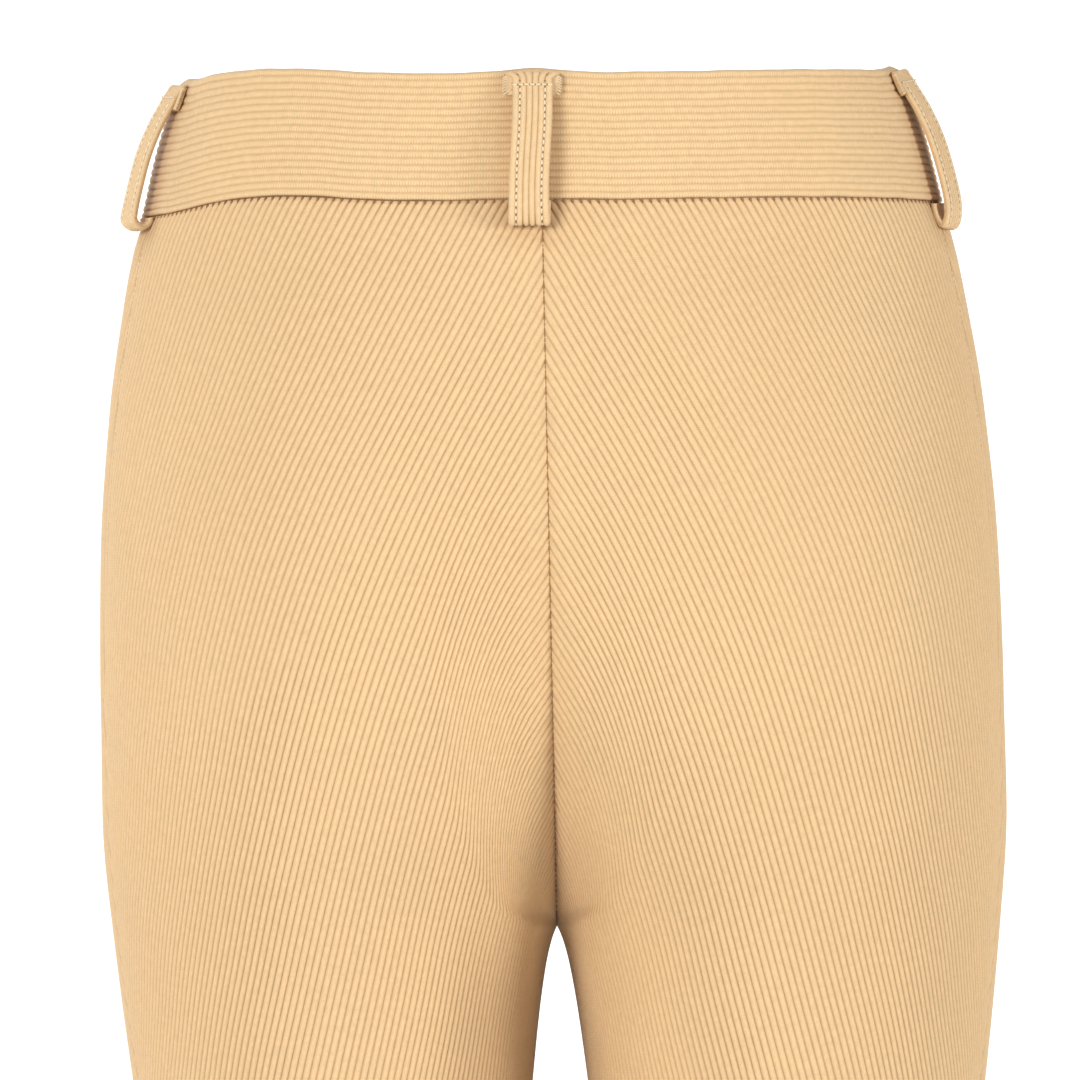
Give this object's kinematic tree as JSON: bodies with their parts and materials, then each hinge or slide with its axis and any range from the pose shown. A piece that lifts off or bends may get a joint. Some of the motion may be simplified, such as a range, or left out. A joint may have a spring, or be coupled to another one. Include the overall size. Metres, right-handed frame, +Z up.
{
  "type": "riding breeches",
  "caption": "Close-fitting ribbed stretch riding breeches in their worn, hollow shape, with a plain waistband, belt loops and chevron ribs meeting at the back seam.",
  "frame": {"origin": "middle of the waist, half way up the waistband at the back, inside the open ring where the wearer's waist holds the garment up", "axes": "+Z up towards the top edge of the waistband, -Y towards the front with the fly, +X towards the wearer's left"},
  "size_m": [0.3428, 0.2487, 0.9652],
  "materials": {
    "cloth": "tan stretch cloth, fine raised ribs on the slant, soft matt sheen",
    "band_cloth": "the same tan ribbed cloth, doubled, ribs lying level on the band and upright on the loops",
    "button": "plain four-hole button, horn brown, soft gloss"
  },
  "bodies": {
    "root": {"back_left_hip": "cloth", "back_left_upper_thigh": "cloth", "back_left_thigh": "cloth", "back_left_calf": "cloth", "back_right_hip": "cloth", "back_right_upper_thigh": "cloth", "back_right_thigh": "cloth", "back_right_calf": "cloth", "front_left_hip": "cloth", "front_left_upper_thigh": "cloth", "front_left_thigh": "cloth", "front_left_calf": "cloth", "front_right_hip": "cloth", "front_right_upper_thigh": "cloth", "front_right_thigh": "cloth", "front_right_calf": "cloth", "fly": "cloth", "waistband": "band_cloth", "belt_loop_back": "band_cloth", "belt_loop_left": "band_cloth", "belt_loop_right": "band_cloth", "belt_loop_front_left": "band_cloth", "belt_loop_front_right": "band_cloth", "waist_button": "button"}
  },
  "joints": []
}
